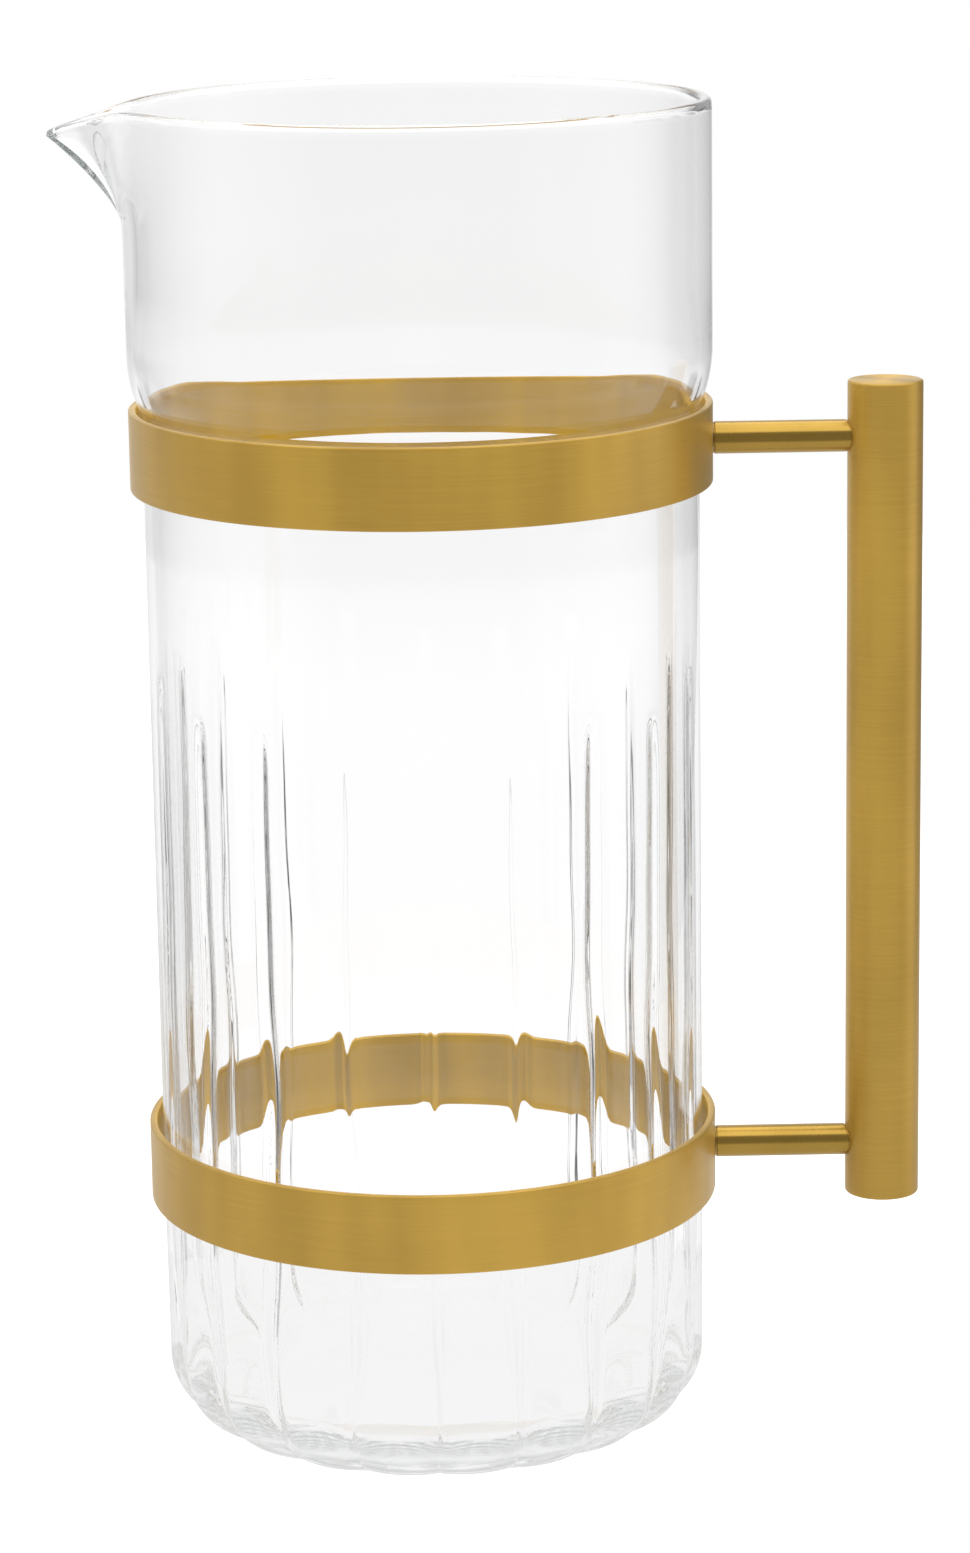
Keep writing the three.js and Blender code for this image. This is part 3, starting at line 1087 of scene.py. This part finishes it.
class Direction:
    """Direction of a ray in the world's tree, with grey ramps over its angles in degrees."""

    def __init__(self, nodes: Nodes) -> None:
        """Takes the elevation, the heading off +Y, right positive, and the heading off the Y axis.

        Args:
            nodes: The world's tree.
        """
        self.nodes = nodes
        axes = nodes.split(nodes.add("TexCoord").outputs["Generated"]).outputs
        self.elevation = nodes.math("ARCSINE", axes["Z"])
        self.heading = nodes.math("ARCTAN2", axes["X"], axes["Y"])
        self.slant = nodes.math("ARCTAN2", *(nodes.math("ABSOLUTE", axes[name]) for name in ("X", "Y")))

    def ramp(self, angle: NodeSocket, stops: Stops, span: float, zero: float) -> NodeSocket:
        """Ramp over an angle, read at angle / span + zero.

        Args:
            angle: Socket of the angle in radians.
            stops: Pairs of degrees and level.
            span: Degrees that the ramp covers.
            zero: Place of 0 degrees on it.

        Returns:
            The level's socket.
        """
        place = self.nodes.math("DIVIDE", angle, math.radians(span))
        places = [(degrees / span + zero, level) for degrees, level in stops]
        return self.nodes.ramp(self.nodes.math("ADD", place, zero), places)

    def upwards(self, stops: Stops) -> NodeSocket:
        """Level by elevation, from -90 to 90 degrees."""
        return self.ramp(self.elevation, stops, 180.0, 0.5)

    def round(self, stops: Stops) -> NodeSocket:
        """Level by heading, from -180 degrees on the left of +Y to 180 on its right."""
        return self.ramp(self.heading, stops, 360.0, 0.5)

    def off_back(self, stops: Stops) -> NodeSocket:
        """Level by heading to either side, from 0 degrees behind to 180 in front."""
        return self.ramp(self.nodes.math("ABSOLUTE", self.heading), stops, 180.0, 0.0)

    def off_axis(self, stops: Stops) -> NodeSocket:
        """Level by heading to either side, from 0 degrees behind and in front to 90 at the sides."""
        return self.ramp(self.slant, stops, 180.0, 0.0)


@dataclass
class Studio:
    """Camera, floor, lamp and surroundings: a white light box that is open in front.

    Metal mirrors the white table, which ends in front and on the right, the lamp panel above, the
    dark room in front and the grey flags. Glass bends the view of the box's white walls, with the
    narrow dark frames that its flutes draw out into lines. Ramps are pairs of degrees and level.
    """

    camera_place: Triple = (0.0, -0.795594, 0.29804)
    pitch: float = 0.2267
    pan: float = 0.0127
    roll: float = 0.0145
    focal_length: float = 108.52
    sensor: float = 36.0
    clip_start: float = 0.01
    table_front: float = 0.30
    table_side: float = 0.30
    table_radius: float = 0.16
    table_shift: float = 0.06
    table_drop: float = 0.4 * MM
    floor_radius: float = 0.9
    floor_middle: float = 0.02
    floor_columns: int = 96
    floor_glow: float = 0.62
    floor_color: float = 0.62
    table_mirrored: float = 0.75
    table_refracted: float = 0.92
    lamp_size: Pair = (0.9, 0.75)
    lamp_place: Triple = (0.0, -0.032, 0.532)
    lamp_glow: float = 1.35
    ambient: float = 0.85
    backdrop_peak: float = 1.06
    wall_glow: float = 0.9
    walls: Stops = ((95, 1.0), (120, 0.36))
    flags: Stops = (
        (-118, 1.0), (-104, 0.7), (-20, 0.7), (-8, 1.0), (6, 1.0), (16, 0.2), (62, 0.2), (78, 1.0),
    )
    backdrop: Stops = (
        (-90, 1.0), (-12, 1.0), (-9.5, 0.93), (-3, 0.87), (90, 0.87),
    )
    front_dim: Stops = ((100, 0.0), (140, 0.85))
    left_dim: Stops = ((-130, 0.0), (-120, 0.6), (-40, 0.6), (-25, 0.0))
    dim_reach: Stops = ((-24, 0.0), (-19, 1.0), (-4, 1.0), (1, 0.0))
    sides: Stops = ((6, 0.0), (14, 0.14), (80, 0.14), (90, 0.0))
    side_reach: Stops = ((-11, 0.0), (-9, 1.0))
    frame_reach: Stops = (
        (-21, 0.0), (-20, 0.25), (-18, 0.3), (-17.3, 1.0), (-13, 1.0), (-11.2, 0.0),
    )
    frames: Stops = (
        (22, 0.0), (23.5, 0.95), (26, 0.95), (27, 0.0), (33, 0.0), (34.5, 0.95), (40.5, 0.95), (42, 0.0),
        (48, 0.0), (49.5, 0.95), (55.5, 0.95), (57, 0.0), (63, 0.0), (64.5, 0.95), (83, 0.95), (85, 0.0),
    )
    bounces: int = 220

    def camera(self) -> Object:
        """Sets the camera: pan and pitch aim it, roll turns it about its own axis.

        Returns:
            The camera.
        """
        forward = Vector((math.sin(self.pan) * math.cos(self.pitch),
                          math.cos(self.pan) * math.cos(self.pitch), -math.sin(self.pitch)))
        level = Vector((math.cos(self.pan), -math.sin(self.pan), 0.0))
        down = forward.cross(level)
        right = math.cos(self.roll) * level + math.sin(self.roll) * down
        up = math.sin(self.roll) * level - math.cos(self.roll) * down
        lens = bpy.data.cameras.new("view")
        lens.sensor_width = self.sensor
        lens.lens = self.focal_length
        lens.clip_start = self.clip_start
        view = add_object("view", lens)
        turn = Matrix((right, up, -forward)).transposed().to_4x4()
        view.matrix_world = Matrix.Translation(self.camera_place) @ turn
        bpy.context.scene.camera = view
        return view

    def floor(self) -> Object:
        """Makes the pale floor, a flat disc.

        Returns:
            The floor.
        """
        angle = even_angles(self.floor_columns)
        radius = np.array([self.floor_middle, self.floor_radius])[:, None]
        points = np.stack([radius * np.cos(angle), radius * np.sin(angle),
                           np.full((2, len(angle)), -self.table_drop)], -1)
        quads, fans = ring_faces(2, len(angle), Ends.POLES)
        verts = np.concatenate([points.reshape(-1, 3), [[0.0, 0.0, -self.table_drop]]])
        middle = fans[: len(angle), ::-1]
        mesh = bpy.data.meshes.new("floor")
        mesh.from_pydata(verts.tolist(), [], quads[:, ::-1].tolist() + middle.tolist())
        mesh.materials.append(self.floor_material())
        floor = add_object("floor", mesh)
        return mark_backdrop(floor)

    def floor_material(self) -> Material:
        """Pale matt floor, lifted to white by a glow.

        Mirrored rays see it as a table that ends in front of the carafe and on its right, refracted
        rays as a round one close about the carafe. Past those edges both go on to the surroundings.

        Returns:
            The material.
        """
        material, nodes = Nodes.of_material("pale_floor")
        path = nodes.add("LightPath").outputs
        place = nodes.object_place()
        axes = nodes.split(place).outputs
        shift = nodes.add("VectorMath", operation="ADD")
        nodes.feed(shift, {0: place, 1: (0.0, self.table_shift, 0.0)})
        away = nodes.add("VectorMath", operation="LENGTH")
        nodes.feed(away, {0: shift.outputs["Vector"]})
        before = nodes.math("MAXIMUM", nodes.math("LESS_THAN", axes["Y"], -self.table_front),
                            nodes.math("GREATER_THAN", axes["X"], self.table_side))
        beyond = nodes.math("GREATER_THAN", away.outputs["Value"], self.table_radius)
        matt = nodes.add("BsdfDiffuse")
        nodes.feed(matt, {"Color": (self.floor_color,) * 3 + (1.0,)})
        seen = nodes.add("AddShader")
        nodes.feed(seen, {0: matt.outputs["BSDF"], 1: self.glow(nodes, self.floor_glow)})
        mirrored = nodes.blend(before, self.glow(nodes, self.table_mirrored), self.clear(nodes))
        refracted = nodes.blend(beyond, self.glow(nodes, self.table_refracted), self.clear(nodes))
        bent = nodes.blend(path["Is Transmission Ray"], mirrored, refracted)
        both = nodes.math("MAXIMUM", path["Is Glossy Ray"], path["Is Transmission Ray"])
        nodes.output(nodes.blend(both, seen.outputs["Shader"], bent))
        return material

    @staticmethod
    def glow(nodes: Nodes, strength: float) -> NodeSocket:
        """White emission of the given strength.

        Args:
            nodes: The tree.
            strength: Strength of the emission.

        Returns:
            The emission's socket.
        """
        node = nodes.add("Emission")
        node.inputs["Strength"].default_value = strength
        return node.outputs["Emission"]

    @staticmethod
    def clear(nodes: Nodes) -> NodeSocket:
        """A surface that lets rays straight through."""
        return nodes.add("BsdfTransparent").outputs["BSDF"]

    def lamp(self) -> Object:
        """Hangs the lamp panel above the carafe, facing down. Its power gives lamp_glow on its face.

        Returns:
            The lamp.
        """
        data = bpy.data.lights.new("panel", "AREA")
        data.shape = "RECTANGLE"
        data.size, data.size_y = self.lamp_size
        data.energy = self.lamp_glow * math.pi * data.size * data.size_y
        lamp = add_object("panel", data)
        lamp.location = self.lamp_place
        lamp.visible_camera = False
        lamp.visible_transmission = False
        return lamp

    def surroundings(self) -> None:
        """Builds the world: white to the camera, the box's walls to glass, its open front to metal."""
        world = bpy.data.worlds.new("light_box")
        bpy.context.scene.world = world
        world.use_nodes = True
        nodes = Nodes(world.node_tree)
        direction = Direction(nodes)
        path = nodes.add("LightPath").outputs
        thrown = nodes.math("GREATER_THAN", path["Glossy Depth"], 0.5)
        level = self.ambient
        for ray, seen in (
            ("Is Glossy Ray", self.mirrored(nodes, direction)),
            ("Is Transmission Ray", self.refracted(nodes, direction, thrown)),
            ("Is Camera Ray", 1.0),
        ):
            level = nodes.mix(path[ray], level, seen, data_type="FLOAT")
        background = nodes.add("Background")
        nodes.feed(background, {"Color": (1.0, 1.0, 1.0, 1.0), "Strength": level})
        output = nodes.add("OutputWorld")
        nodes.feed(output, {"Surface": background.outputs["Background"]})

    def refracted(self, nodes: Nodes, direction: Direction, thrown: NodeSocket) -> NodeSocket:
        """What glass bends: a backdrop that brightens downwards, with dark upright frames low down.

        Above the frames the sides are a shade darker than the middle. Rays that metal threw back on
        their way meet the dark room in front and a dim left, so that the far insides of the hoops
        stay deep in colour while the glass itself is clear from every side.

        Args:
            nodes: The tree.
            direction: Direction of the ray.
            thrown: 1 for a ray that was mirrored on its way, else 0.

        Returns:
            Socket of the level.
        """
        backdrop = nodes.times(direction.upwards(self.backdrop), self.backdrop_peak)
        frames = nodes.times(direction.off_axis(self.frames), direction.upwards(self.frame_reach))
        sides = nodes.times(direction.off_axis(self.sides), direction.upwards(self.side_reach))
        shade = nodes.less(nodes.math("MAXIMUM", frames, sides))
        dim = nodes.math("MAXIMUM", direction.off_back(self.front_dim), direction.round(self.left_dim))
        dim = nodes.times(dim, direction.upwards(self.dim_reach))
        dusk = nodes.less(nodes.times(dim, thrown))
        return nodes.times(backdrop, nodes.times(shade, dusk))

    def mirrored(self, nodes: Nodes, direction: Direction) -> NodeSocket:
        """What metal mirrors: white walls with grey flags beside and behind, the dark room in front."""
        walls = nodes.times(direction.off_back(self.walls), direction.round(self.flags))
        return nodes.times(walls, self.wall_glow)

    def build(self) -> None:
        """Sets up the whole studio. Light gets enough bounces to find its way out of thick glass."""
        scene = bpy.context.scene
        scene.view_settings.view_transform = "Standard"
        for kind in ("max", "transmission", "glossy"):
            setattr(scene.cycles, f"{kind}_bounces", self.bounces)
        self.camera()
        self.floor()
        self.lamp()
        self.surroundings()


def dress(piece: Object, material: Material, body: str, node: str) -> Object:
    """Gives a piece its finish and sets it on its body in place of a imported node.

    Args:
        piece: The new piece.
        material: Its finish.
        body: Body that it moves with.
        node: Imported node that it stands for.

    Returns:
        The same piece.
    """
    piece.data.materials.append(material)
    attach(piece, body)
    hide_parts(node)
    LOG.info("%s rides on %s in place of %s: %d faces", piece.name, body, node, len(piece.data.polygons))
    return piece


def dress_node(node: str, material: Material) -> None:
    """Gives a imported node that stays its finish.

    Args:
        node: Name of the node.
        material: Its finish.
    """
    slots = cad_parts[node].data.materials
    slots.clear()
    slots.append(material)
    LOG.info("%s keeps its packed shape", node)


def main() -> None:
    """Builds the carafe and its studio."""
    logging.basicConfig(level=logging.INFO, format="%(name)s: %(message)s")
    turned_upright = BrassFinish(Axis.Z, (0.42, 0.50), 0.65).build()
    # Painted shade: the posts get a darker copy of the brass colour than the bands and bar, to darken
    # them.
    turned_across_shaded = BrassFinish(Axis.X, (0.24, 0.30), 1.0, anisotropy=0.5, color=(0.49, 0.305, 0.056),
                                streak=(0.43, 0.265, 0.045)).build()
    silicone = SiliconeFinish().build()
    steel = SteelFinish().build()
    GlassVessel().build(GlassFinish().build())
    handle = Handle()
    handle.bar(turned_upright)
    for level in ("upper", "lower"):
        hoop = Hoop(level)
        hoop.band(turned_upright)
        hoop.liner(silicone)
        hoop.screw(steel)
        handle.post(level, turned_across_shaded)
        dress_node(f"{level}_post_stud", steel)
    Studio().build()


if __name__ == "__main__":
    main()
